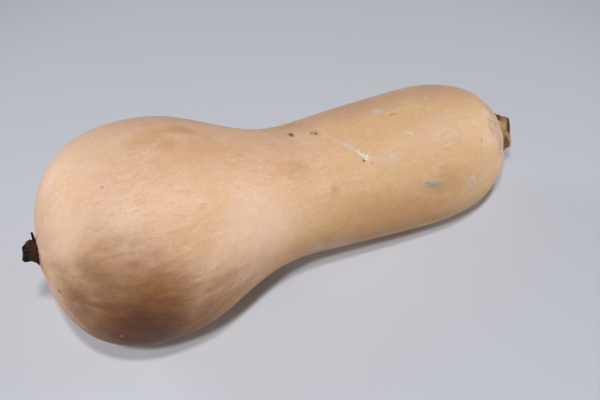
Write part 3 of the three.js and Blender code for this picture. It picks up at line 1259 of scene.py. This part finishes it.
@dataclass
class Rind:
    """The fruit's outside. Its sizes are in millimetres, and its turns are in radians."""

    form: FruitForm
    rings: int = 300
    sides: int = 300
    smooth_radius: float = 9.0
    rough_radius: float = 16.0
    course_spread: float = 1.09
    course_reach: float = 0.4
    lump_size: float = 46.0
    lump_height: float = 0.45
    rib_count: int = 10
    rib_turn: float = 0.8
    rib_height: float = 0.22
    rib_least: float = 0.35
    rib_high_radius: float = 22.0
    rib_low_radius: float = 52.0
    rib_wander: float = 0.25
    rib_wander_length: float = 40.0
    ripple_length: float = 30.0
    ripple_count: float = 6.0
    ripple_height: float = 0.05
    crumb_size: float = 1.5
    button_height: float = 1.6
    button_radius: float = 9.5
    hollow_depth: float = 0.9
    hollow_radius: float = 24.0
    finish: RindFinish = RindFinish()

    def build(self, effects: Effects) -> bpy.types.Object:
        """Models and dresses the fruit.

        Args:
            effects: The shared node groups.

        Returns:
            The finished piece.
        """
        path = self.form.outline(self.rings)
        angles = round_angles(self.sides)
        skin = Skin(self.form.skin(path[:, 0], path[:, 1], angles))
        height = self.relief(skin.rings, path, angles)
        for kind in MarkKind:
            mask, raised = self.paint(skin.rings, path, angles, kind)
            skin.values[kind.value] = mask
            height = height + raised
        skin.swell(height * MM * self.ease(path)[:, None])
        skin.values["course"] = self.course(path, angles)
        forward = np.array(self.form.lying.col[0][:3])
        skin.rings += (self.button(path) - self.hollow(path))[:, None, None] * forward
        skin.rings[..., 2] = np.maximum(skin.rings[..., 2], 0)
        piece = skin.build("rind")
        piece.data.materials.append(self.finish.material(effects))
        return piece

    def ease(self, path: np.ndarray) -> np.ndarray:
        """How much of the relief each ring takes: none where the end pieces stand."""
        return smooth_step(path[:, 1], self.smooth_radius, self.rough_radius)

    def course(self, path: np.ndarray, angles: np.ndarray) -> np.ndarray:
        """Coordinates that follow the skin from end to end, so that streaks run as the fruit grew.

        Args:
            path: The outline's distances and radii.
            angles: The angles around the fruit.

        Returns:
            Points in metres: the way along the skin, and two numbers for the way round it. The way round
            shrinks towards the ends, but less than the fruit does.
        """
        widest = path[:, 1].max()
        around = self.course_spread * widest * (1 - np.exp(-path[:, 1:2] / (self.course_reach * widest)))
        return tube(walk(path)[:, None], angles, around) * MM

    def button(self, path: np.ndarray) -> np.ndarray:
        """The low button under the blossom: how far each ring stands out, in metres along the fruit."""
        rise = np.exp(-((path[:, 1] / self.button_radius) ** 4)) * (path[:, 0] < self.form.bulb_at)
        return -self.button_height * MM * rise

    def hollow(self, path: np.ndarray) -> np.ndarray:
        """The shallow hollow round the stem: how far each ring lies back, in metres along the fruit."""
        fall = np.exp(-((path[:, 1] / self.hollow_radius) ** 4)) * (path[:, 0] > self.form.neck_at)
        return self.hollow_depth * MM * fall

    def relief(self, points: np.ndarray, path: np.ndarray, angles: np.ndarray) -> np.ndarray:
        """The rind's broad lumps, faint ribs and fine ripples.

        Args:
            points: The smooth skin in metres.
            path: The outline's distances and radii.
            angles: The angles around the fruit.

        Returns:
            Heights in millimetres.
        """
        lumps = self.lump_height * noise_at(points, self.lump_size * MM, layers=2, seed=3.0)
        near_ends = 1 - smooth_step(path[:, 1], self.rib_high_radius, self.rib_low_radius)
        wander = self.rib_wander * np.sin(path[:, 0] / self.rib_wander_length)
        ribs = np.cos(self.rib_count * (angles[None, :] + wander[:, None]) + self.rib_turn)
        ribs = ribs * (self.rib_least + (1 - self.rib_least) * near_ends)[:, None] * self.rib_height
        line = tube(path[:, :1] / self.ripple_length, angles, self.ripple_count)
        ripples = self.ripple_height * noise_at(line, 1.0, layers=3, seed=7.0)
        return lumps + ribs + ripples

    def paint(
        self, points: np.ndarray, path: np.ndarray, angles: np.ndarray, kind: MarkKind
    ) -> tuple[np.ndarray, np.ndarray]:
        """Where the marks of one kind lie.

        Args:
            points: The skin in metres.
            path: The outline's distances and radii.
            angles: The angles around the fruit.
            kind: The kind of mark.

        Returns:
            A mask from 0 to 1, and how far the marks raise the skin, in millimetres.
        """
        mask = np.zeros(points.shape[:2])
        raised = np.zeros(points.shape[:2])
        walked = self.form.walked(path[:, 0])
        for mark in (mark for mark in MARKS if mark.kind is kind):
            ahead = (walked - self.form.walked(mark.along))[:, None]
            apart = angles - math.radians(mark.around)
            beside = path[:, 1:] * (np.mod(apart + math.pi, FULL_TURN) - math.pi)[None, :]
            turn = math.radians(mark.turned)
            long_way = (ahead * math.cos(turn) + beside * math.sin(turn)) / mark.length
            cross_way = (beside * math.cos(turn) - ahead * math.sin(turn)) / mark.width
            inside = np.exp(-(long_way**2) - cross_way**2)
            mask = np.maximum(mask, inside * mark.strength)
            near = inside > 0.01
            if mark.raised and near.any():
                crumbs = noise_at(points[near], self.crumb_size * MM, layers=2, seed=1.0)
                raised[near] += mark.raised * inside[near] * (0.55 + 0.6 * crumbs)
        return mask, raised


# ---------------------------------------------------------------------------------------------------------
# The stem stub
# ---------------------------------------------------------------------------------------------------------


@dataclass(frozen=True)
class CorkFinish:
    """Dry, ridged stem: olive tan cork with dark fissures and creases, partly painted shade, and a paler
    broken end with painted shade in its hollow.
    """

    cork: Colour = Colour(160, 130, 100)
    straw: Colour = Colour(182, 152, 116)
    # Dark brown for the fissures, partly painted shade in the creases and in the broken end's hollow.
    groove_and_shade: Colour = Colour(98, 66, 40)
    char: Colour = Colour(70, 56, 42)
    moss: Colour = Colour(152, 124, 74)
    pith: Colour = Colour(156, 130, 92)
    relief_depth: float = 0.35
    specular: float = 0.35

    def material(self, effects: Effects) -> bpy.types.Material:
        """Builds the material.

        Args:
            effects: The shared node groups.

        Returns:
            The stem's material.
        """
        material, wiring = new_material("dry cork")
        place = wiring.place()
        fibres = wiring.group(
            effects.grain, {"Vector": place, "Along": 130.0, "Around": 60.0, "Detail": 4.0, "Roughness": 0.65}
        )
        patches = wiring.group(
            effects.mottle, {"Vector": place, "Per Metre": 260.0, "From": 0.4, "To": 0.62, "Warp": 0.6}
        )
        colour = wiring.blend(wiring.spread(fibres, 0.35, 0.65), self.cork, self.straw)
        colour = wiring.blend(wiring.math("MULTIPLY", patches, 0.25), colour, self.moss)
        colour = wiring.blend(wiring.math("MULTIPLY", wiring.mark("olive"), 0.85), colour, self.moss)
        pith = wiring.noise(place, 900.0, detail=4.0, roughness=0.6)
        end = wiring.blend(wiring.spread(pith, 0.36, 0.7, 0.0, 0.6), self.pith, self.groove_and_shade)
        colour = wiring.blend(wiring.mark("broken"), colour, end)
        # Painted shade: dark brown laid in the fissures and creases and in the broken end's hollow.
        grooves_and_shade = {"Mask": wiring.mark("groove_and_shade"), "Per Metre": 400.0, "Strength": 0.3, "Softness": 0.65}
        deep = wiring.group(effects.ragged, {"Vector": place, **grooves_and_shade})
        colour = wiring.blend(wiring.math("MULTIPLY", deep, 0.9), colour, self.groove_and_shade)
        chars = {"Mask": wiring.mark("char"), "Per Metre": 500.0, "Strength": 0.35, "Softness": 0.5}
        burnt = wiring.group(effects.ragged, {"Vector": place, **chars})
        colour = wiring.blend(burnt, colour, self.char)
        crumbs = wiring.noise(place, 1300.0, detail=4.0, roughness=0.7)
        height = wiring.math("ADD", wiring.math("MULTIPLY", fibres, 1.2), crumbs)
        rough = wiring.spread(crumbs, 0.3, 0.7, 0.78, 0.92)
        dress("cork", wiring, Surface(colour, rough, height, self.relief_depth, self.specular))
        return material


@dataclass
class StemStub:
    """The short stub of the stem, which flares onto the fruit and ends in a broken face.

    Its sizes are in millimetres, its turns are in degrees, and its bumps are places on its side. The
    fissures are sized on a stub of radius 1, and the rim begins at a share of the stub's height.
    """

    form: FruitForm
    length: float = 5.6
    slant: float = 0.16
    lean: float = 2.1
    lean_turn: float = 75.0
    waist_radius: float = 11.6
    foot_flare: float = 3.4
    foot_curve: float = 2.6
    foot_turn: float = 45.0
    foot_bias: float = 0.8
    foot_ridges: float = 0.3
    foot_sunk: float = 1.0
    pinch: float = 1.0
    rim_rounding: float = 0.35
    rim_from: float = 0.93
    ridge_count: int = 5
    ridge_turn: float = 108.0
    ridge_height: float = 1.1
    ribs: tuple[Lobe, ...] = (Lobe(9, 1.0, 0.4), Lobe(16, 0.4, 0.9))
    rib_height: float = 0.3
    fissure_run: float = 0.7
    fissure_size: float = 0.13
    fissure_height: float = 0.4
    hollow_depth: float = 2.0
    splinter_size: float = 1.7
    splinter_height: float = 0.55
    sliver_size: float = 0.6
    sliver_height: float = 0.25
    worn: tuple[Bump, ...] = (Bump(48, 34, 1.8),)
    # The creases are brown bands on the side, partly painted shade.
    creases: tuple[Bump, ...] = (Bump(66, 42), Bump(168, 26), Bump(285, 40, 0.7))
    crease_reach: tuple[Bump, ...] = (Bump(52, 30, 0.6), Bump(172, 24, 0.3))
    charred: tuple[Bump, ...] = (Bump(126, 28, 0.85), Bump(300, 25, 0.68))
    olive: tuple[Bump, ...] = (Bump(94, 28), Bump(240, 35, 0.7))
    sides: int = 300
    wall_rings: int = 70
    end_rings: int = 40
    finish: CorkFinish = CorkFinish()

    def build(self, effects: Effects) -> bpy.types.Object:
        """Models and dresses the stub.

        Args:
            effects: The shared node groups.

        Returns:
            The finished piece.
        """
        angles = round_angles(self.sides)
        wall, wall_values = self.wall(angles)
        end, end_values = self.broken_end(wall[-1])
        seat = self.form.seat(self.form.stem_seat + self.form.seat_gap)
        skin = Skin(moved(np.concatenate([wall, end]), seat))
        for name, value in wall_values.items():
            skin.values[name] = np.concatenate([value, end_values[name]])
        piece = skin.build("stem")
        piece.data.materials.append(self.finish.material(effects))
        return piece

    def wall(self, angles: np.ndarray) -> tuple[np.ndarray, dict[str, np.ndarray]]:
        """The stub's side, from the skin to the rim.

        Args:
            angles: The angles around it.

        Returns:
            Its rings in millimetres, and the values at their points.
        """
        share = np.linspace(0, 1, self.wall_rings)[:, None]
        turned = angles - math.radians(self.ridge_turn)
        ridges = np.cos(self.ridge_count * turned)
        ribs = lobed(turned, self.ribs)
        line = tube(share * self.fissure_run, angles)
        fissures = noise_at(line, self.fissure_size, layers=3, seed=5.0)
        narrow = self.foot_bias * np.cos(angles - math.radians(self.foot_turn))
        flare = self.foot_flare * (1.0 + self.foot_ridges * ridges - narrow)
        radius = self.waist_radius + flare * (1 - share) ** self.foot_curve
        radius = radius + self.ridge_height * ridges + self.rib_height * ribs - bumps(angles, self.worn)
        radius = radius + self.fissure_height * fissures - self.pinch * np.sin(math.pi * share)
        radius = radius - self.rim_rounding * smooth_step(share, self.rim_from, 1.0)
        tall = self.length * (1 + self.slant * np.cos(angles - math.radians(self.lean_turn)))
        foot = -self.form.end_drop(radius[0]) - self.foot_sunk
        rings = tube(foot * (1 - share) ** 2 + share * tall, angles, radius)
        rings[..., 2] += self.lean * share
        return rings, self.wall_values(share, angles, ribs + 0.8 * ridges, fissures)

    def wall_values(
        self, share: np.ndarray, angles: np.ndarray, folds: np.ndarray, fissures: np.ndarray
    ) -> dict[str, np.ndarray]:
        """Where the side is grooved, with dark painted shade in its fissures and creases, charred and olive.

        Args:
            share: How far up the side each ring is, from 0 to 1.
            angles: The angles around it.
            folds: The ridges' and the ribs' height at each angle.
            fissures: The fissures' height at each point.

        Returns:
            The values by name, from 0 to 1.
        """
        # Painted shade: darker where the ridges and fissures dip, and in the creases.
        groove_and_shade = np.clip(0.2 - 0.35 * folds - 0.9 * fissures, 0, 1) * smooth_step(1 - share, 0.0, 0.3)
        reach = share - bumps(angles, self.crease_reach)
        crease = (1 - smooth_step(reach, 0.42, 0.68)) * np.clip(bumps(angles, self.creases), 0.12, 1)
        rim = smooth_step(share, 0.6, 0.85) * (1 - 0.4 * smooth_step(share, 0.94, 1.0))
        return {
            "groove_and_shade": np.maximum(groove_and_shade * 0.6, crease),
            "char": rim * bumps(angles, self.charred),
            "olive": smooth_step(share, 0.55, 0.8) * bumps(angles, self.olive),
            "broken": np.zeros_like(fissures),
        }

    def broken_end(self, rim: np.ndarray) -> tuple[np.ndarray, dict[str, np.ndarray]]:
        """The broken face, from the rim to the pithy hollow in its middle.

        Args:
            rim: The last ring of the wall.

        Returns:
            Its rings in millimetres, and the values at their points.
        """
        share = np.linspace(0, 1, self.end_rings + 2)[1:-1, None]
        middle = rim.mean(axis=0)
        rings = rim[None] + (middle - rim)[None] * share[..., None]
        hollow = 0.25 * smooth_step(share, 0.0, 0.2) + 0.75 * smooth_step(share, 0.55, 1.0)
        splinters = self.splinter_height * noise_at(rings, self.splinter_size, layers=3, seed=11.0)
        slivers = self.sliver_height * noise_at(rings, self.sliver_size, layers=2, seed=2.0)
        splinters = splinters + slivers
        rings[..., 0] += splinters * smooth_step(share, 0.0, 0.15) - self.hollow_depth * hollow
        # Painted shade: darker in the hollow middle and where the splinters dip.
        dark = smooth_step(share, 0.6, 0.9) * 0.7 + np.clip(-splinters, 0, 1)
        char = (1 - smooth_step(share, 0.0, 0.3)) * 0.6
        return rings, {
            "groove_and_shade": np.clip(dark, 0, 1),
            "char": np.broadcast_to(char, splinters.shape),
            "olive": np.zeros_like(splinters),
            "broken": np.ones_like(splinters),
        }


# ---------------------------------------------------------------------------------------------------------
# The dried blossom
# ---------------------------------------------------------------------------------------------------------


@dataclass(frozen=True)
class WitheredFinish:
    """Withered petals: nearly black brown, paler on the folds, with a dull gloss and painted grey glints."""

    bark: Colour = Colour(46, 27, 17)
    soot: Colour = Colour(16, 10, 9)
    rust: Colour = Colour(78, 48, 26)
    glint_grey: Colour = Colour(112, 92, 78)
    relief_depth: float = 0.4
    specular: float = 0.14

    def material(self, effects: Effects) -> bpy.types.Material:
        """Builds the material.

        Args:
            effects: The shared node groups.

        Returns:
            The blossom's material.
        """
        material, wiring = new_material("withered petals")
        place = wiring.place()
        veins = wiring.group(
            effects.grain, {"Vector": place, "Along": 160.0, "Around": 14.0, "Detail": 4.0, "Roughness": 0.7}
        )
        patches = wiring.group(
            effects.mottle, {"Vector": place, "Per Metre": 330.0, "From": 0.38, "To": 0.6, "Warp": 1.0}
        )
        colour = wiring.blend(patches, self.bark, self.soot)
        crest = wiring.math("MULTIPLY", wiring.mark("crest"), wiring.spread(veins, 0.4, 0.62))
        colour = wiring.blend(wiring.math("MULTIPLY", crest, 0.8), colour, self.rust)
        # Painted highlights: scattered grey-brown glints on the petals.
        glints = wiring.group(
            effects.specks, {"Vector": place, "Per Metre": 900.0, "Size": 0.4, "Share": 0.12}
        )
        colour = wiring.blend(wiring.math("MULTIPLY", glints, 0.5), colour, self.glint_grey)
        colour = wiring.blend(wiring.mark("lip"), colour, self.soot)
        wrinkles = wiring.noise(place, 1200.0, detail=4.0, roughness=0.65, warp=0.6)
        height = wiring.math("ADD", wiring.math("MULTIPLY", veins, 1.5), wrinkles)
        rough = wiring.spread(wrinkles, 0.3, 0.7, 0.5, 0.8)
        dress("petals", wiring, Surface(colour, rough, height, self.relief_depth, self.specular))
        return material


@dataclass
class DriedBlossom:
    """The shrunken cup of the flower, pressed against the fruit's end, with one curled tip left on it.

    Its sizes are in millimetres, and its turns are in radians. The crumples and tears are sized on a cup of
    radius 1, and the lobe's place and reach are shares of the cup's height.
    """

    form: FruitForm
    aside: float = 4.0
    above: float = 1.5
    stand_off: float = 1.0
    height: float = 7.0
    slant: float = 0.5
    slant_turn: float = 3.58
    tear_size: float = 0.22
    tear_height: float = 0.7
    foot_sunk: float = 1.2
    rise: float = 2.6
    droop: float = 2.2
    base_radius: float = 6.6
    waist_radius: float = 5.6
    crown_radius: float = 3.5
    crown_turned_in: float = 1.2
    folds: int = 7
    fold_depth: float = 0.55
    twist: float = 0.5
    crumple_twist: float = 0.35
    crumple_run: float = 1.2
    crumple_size: float = 0.4
    crumple_height: float = 0.5
    tuck_turn: float = 0.8
    tuck_at_foot: float = 2.2
    tuck_lost: float = 1.2
    lobe_height: float = 2.5
    lobe_turn: float = 4.36
    lobe_width: float = 0.42
    lobe_at: float = 0.08
    lobe_reach: float = 0.13
    cup_depth: float = 3.4
    tip_radius: float = 0.85
    tip_foot: float = 3.2
    tip_length: float = 6.2
    tip_aside: float = 3.4
    sides: int = 260
    outer_rings: int = 76
    inner_rings: int = 34
    tip_rings: int = 26
    tip_sides: int = 20
    finish: WitheredFinish = WitheredFinish()

    def build(self, effects: Effects) -> bpy.types.Object:
        """Models and dresses the blossom.

        Args:
            effects: The shared node groups.

        Returns:
            The finished piece.
        """
        outside = self.outside(round_angles(self.sides))
        rings = np.concatenate([outside, self.inside(outside[-1])])[::-1]
        skin = Skin(self.placed(rings))
        outer = np.linspace(0, 1, self.outer_rings)
        share = np.concatenate([outer, np.linspace(1, 0.4, self.inner_rings)])[::-1, None]
        crests = noise_at(rings, 2.0, layers=2, seed=4.0)
        skin.values["crest"] = np.clip(0.9 - 0.9 * share + 0.7 * crests, 0, 1)
        skin.values["lip"] = smooth_step(share, 0.62, 1.0)
        cup = skin.build("withered_blossom")
        curl = self.curled_tip()
        material = self.finish.material(effects)
        for piece in (cup, curl):
            piece.data.materials.append(material)
        with bpy.context.temp_override(active_object=cup, selected_editable_objects=[cup, curl]):
            bpy.ops.object.join()
        return cup

    def placed(self, rings: np.ndarray) -> np.ndarray:
        """Moves rings from the blossom's own millimetres to the frame."""
        return moved(rings, self.form.seat(self.form.blossom_seat - self.stand_off, self.aside, self.above))

    def outside(self, angles: np.ndarray) -> np.ndarray:
        """The outer wall, from the skin to the ragged crown.

        Args:
            angles: The angles around it.

        Returns:
            Its rings in millimetres. It grows towards -X.
        """
        share = np.linspace(0, 1, self.outer_rings)[:, None]
        around = angles[None, :]
        base, waist, crown = self.base_radius, self.waist_radius, self.crown_radius
        heights = (0.0, 0.12, 0.45, 0.8, 0.95, 1.0)
        radii = (base, base, waist, crown + 0.7, crown, crown - self.crown_turned_in)
        line = tube(share * self.crumple_run, angles)
        crumple = noise_at(line, self.crumple_size, layers=4, seed=9.0)
        twisted = around + self.twist * share + self.crumple_twist * crumple
        folds = np.cos(self.folds * twisted) * self.fold_depth * smooth_step(share, 0.05, 0.5)
        tuck = self.tuck_at_foot - self.tuck_lost * smooth_step(share, 0.05, 0.4)
        tucked = smooth_step(np.cos(around - self.tuck_turn), 0.0, 0.9) * tuck
        beside = (around - self.lobe_turn) / self.lobe_width
        past = (share - self.lobe_at) / self.lobe_reach
        lobe = np.exp(-(beside**2) - past**2)
        radius = np.interp(share, heights, radii) + folds + self.crumple_height * crumple * (0.2 + share)
        radius = radius - tucked + self.lobe_height * lobe
        ragged = noise_at(line[-1], self.tear_size, layers=4, seed=2.0)
        tall = self.height + self.slant * np.cos(angles - self.slant_turn) + self.tear_height * ragged
        rings = tube(self.foot_sunk * (1 - share) ** 4 - share * tall, angles, radius)
        rings[..., 2] += self.rise * share - self.droop * share**4
        return rings

    def inside(self, crown: np.ndarray) -> np.ndarray:
        """The inner wall, from the crown down into the cup.

        Args:
            crown: The last ring of the outer wall.

        Returns:
            Its rings in millimetres.
        """
        share = np.linspace(0, 1, self.inner_rings + 1)[1:, None, None]
        middle = crown.mean(axis=0) + np.array([self.cup_depth, 0, 0])
        lip = crown + (middle - crown) * np.array([0.0, 0.16, 0.16])
        floor = middle + (lip - middle) * (1 - share) ** 0.7
        deep = lip[None, :, 0:1] + (middle[0] - lip[None, :, 0:1]) * share**0.5
        rings = np.concatenate([np.broadcast_to(deep, floor.shape[:2] + (1,)), floor[..., 1:]], axis=-1)
        rings[..., 0] += 0.5 * noise_at(rings, 1.3, layers=3, seed=6.0) * share[..., 0]
        return rings

    def curled_tip(self) -> bpy.types.Object:
        """The thin tip of a petal that stands up beside the fruit's end.

        Returns:
            The tip, not yet joined to the cup.
        """
        share = np.linspace(0, 1, self.tip_rings)[:, None]
        angles = round_angles(self.tip_sides)
        radius = self.tip_radius * (1 - 0.5 * share) * (1 + 0.25 * np.cos(3 * angles + 2 * share))
        aside = np.full_like(share, self.tip_aside)
        above = self.tip_foot + self.tip_length * share
        spine = np.concatenate([-0.7 - 0.4 * share**2, aside, above], axis=1)
        flat = (radius * np.cos(angles), 0.6 * radius * np.sin(angles), np.zeros_like(radius))
        tip = Skin(self.placed(spine[:, None, :] + np.stack(flat, axis=-1)))
        tip.values["crest"] = np.full(radius.shape, 0.5)
        tip.values["lip"] = smooth_step(share, 0.5, 1.0)
        return tip.build("curled_tip")


# ---------------------------------------------------------------------------------------------------------
# Stage, lamps and camera
# ---------------------------------------------------------------------------------------------------------


def bearing(azimuth: float, elevation: float) -> Vector:
    """The direction towards a place seen from the squash.

    Args:
        azimuth: Degrees round from the -Y side towards +X.
        elevation: Degrees above the floor.

    Returns:
        A unit vector.
    """
    turn = math.radians(azimuth)
    rise = math.radians(elevation)
    return Vector((math.sin(turn) * math.cos(rise), -math.cos(turn) * math.cos(rise), math.sin(rise)))


def look_at(thing: bpy.types.Object, place: Vector, target: Vector) -> None:
    """Puts a lamp or the camera somewhere and turns it towards a point."""
    thing.location = place
    thing.rotation_euler = (target - place).to_track_quat("-Z", "Y").to_euler()


@dataclass(frozen=True)
class Lamp:
    """A round soft lamp: where it stands, its width in metres and its level on the squash."""

    name: str
    azimuth: float
    elevation: float
    distance: float
    width: float
    level: float


@dataclass
class Studio:
    """A pale floor, two lamps high on the camera's side, a soft lamp on each side, and the camera.

    The floor's distances are in metres from the point that the camera looks at.
    """

    target: Vector = field(default_factory=lambda: Vector((0.0207, 0.0328, 0.0)))
    azimuth: float = -24.34
    elevation: float = 47.0
    distance: float = 0.5595
    view_angle: float = 35.0
    lamps: tuple[Lamp, ...] = (
        Lamp("main lamp", -21, 66, 1.3, 0.1, 0.4),
        Lamp("second lamp", -35, 56, 1.3, 0.1, 0.43),
        Lamp("left lamp", -138, 10, 1.8, 0.63, 0.51),
        Lamp("right lamp", 86, 10, 1.8, 0.63, 0.53),
    )
    lit_point: Vector = field(default_factory=lambda: Vector((0.0, 0.0, 0.03)))
    surround_level: float = 0.05
    floor_size: float = 4.0
    floor_lit: tuple[float, float] = (0.2, 0.5)
    floor_seen: tuple[float, float] = (0.7, 1.5)
    floor_colour: Colour = Colour(198, 201, 209)
    floor_painted_shade: Colour = Colour(148, 151, 160)
    surround: Colour = Colour(245, 248, 255)
    backdrop: Colour = Colour(186, 190, 200)

    def build(self) -> None:
        """Sets everything up."""
        self.build_floor()
        for lamp in self.lamps:
            self.build_lamp(lamp)
        self.build_surround()
        self.build_camera()
        bpy.context.scene.view_settings.view_transform = "Standard"

    def build_floor(self) -> None:
        """A wide matt floor with painted light: its colour is painted darker beyond a lit pool round the
        squash, and it fades into the backdrop further out.
        """
        half = self.floor_size / 2
        mesh = bpy.data.meshes.new("floor")
        corners = [(-half, -half, 0), (half, -half, 0), (half, half, 0), (-half, half, 0)]
        mesh.from_pydata(corners, [], [(0, 1, 2, 3)])
        floor = bpy.data.objects.new("floor", mesh)
        bpy.context.scene.collection.objects.link(floor)
        material, wiring = new_material("matt floor")
        place = wiring.place()
        ends = {0: place, 1: self.target}
        away = wiring.node("ShaderNodeVectorMath", ends, operation="DISTANCE").outputs["Value"]
        # Painted light and shade: a lighter pool of floor round the squash, darker further out.
        colour = wiring.blend(wiring.spread(away, *self.floor_lit), self.floor_colour, self.floor_painted_shade)
        grain = wiring.noise(place, 800.0, detail=3.0)
        rough = wiring.spread(grain, 0.3, 0.7, 0.85, 0.95)
        cover = wiring.spread(away, *self.floor_seen, 1.0, 0.0)
        dress("floor", wiring, Surface(colour, rough, grain, 0.02, 0.2, cover))
        mesh.materials.append(material)

    def build_lamp(self, lamp: Lamp) -> None:
        """Stands one lamp up and turns it to the squash.

        Args:
            lamp: The lamp.
        """
        light = bpy.data.lights.new(lamp.name, "AREA")
        light.shape = "DISK"
        light.size = lamp.width
        light.energy = lamp.level * (math.pi * lamp.distance) ** 2
        holder = bpy.data.objects.new(lamp.name, light)
        bpy.context.scene.collection.objects.link(holder)
        place = bearing(lamp.azimuth, lamp.elevation) * lamp.distance
        look_at(holder, place, self.lit_point)

    def build_surround(self) -> None:
        """Even light from all round, and a pale backdrop for the camera and for reflections."""
        world = bpy.data.worlds.new("surround")
        world.use_nodes = True
        world.node_tree.nodes.clear()
        wiring = Wiring(world.node_tree)
        path = wiring.node("ShaderNodeLightPath")
        shiny = wiring.math("MAXIMUM", path.outputs["Is Glossy Ray"], path.outputs["Is Transmission Ray"])
        seen = wiring.math("MAXIMUM", path.outputs["Is Camera Ray"], shiny)
        light = wiring.node("ShaderNodeBackground", {"Color": self.surround, "Strength": self.surround_level})
        drop = wiring.node("ShaderNodeBackground", {"Color": self.backdrop, "Strength": 1.0})
        mixed = wiring.node("ShaderNodeMixShader", {0: seen, 1: light.outputs[0], 2: drop.outputs[0]})
        wiring.node("ShaderNodeOutputWorld", {"Surface": mixed.outputs[0]})
        bpy.context.scene.world = world

    def build_camera(self) -> None:
        """The camera, which looks down at the squash from its bulb's side."""
        camera = bpy.data.cameras.new("camera")
        camera.sensor_fit = "HORIZONTAL"
        camera.angle = math.radians(self.view_angle)
        camera.clip_start = 0.01
        holder = bpy.data.objects.new("camera", camera)
        bpy.context.scene.collection.objects.link(holder)
        place = self.target + bearing(self.azimuth, self.elevation) * self.distance
        look_at(holder, place, self.target)
        bpy.context.scene.camera = holder


# ---------------------------------------------------------------------------------------------------------
# The whole scene
# ---------------------------------------------------------------------------------------------------------


def report(piece: bpy.types.Object) -> None:
    """Logs a finished piece and its size."""
    size = " x ".join(f"{side / MM:.1f}" for side in piece.dimensions)
    log.info("%s: %d faces, %s mm", piece.name, len(piece.data.polygons), size)


def main() -> None:
    """Builds the pieces in order, fits them to the frame and lights them."""
    logging.basicConfig(level=logging.INFO, format="%(name)s: %(message)s")
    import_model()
    form = FruitForm()
    form.lay_down(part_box("squash_body"))
    effects = Effects(form)
    pieces = (
        (Rind(form), "squash_body", "rind"),
        (StemStub(form), "stem_stub", "dry_stem"),
        (DriedBlossom(form), "dried_blossom", "dry_blossom"),
    )
    for maker, node, slot in pieces:
        piece = maker.build(effects)
        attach(piece, "root")
        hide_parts(node)
        report(piece)
    Studio().build()
    bpy.context.view_layer.update()


if __name__ == "__main__":
    main()
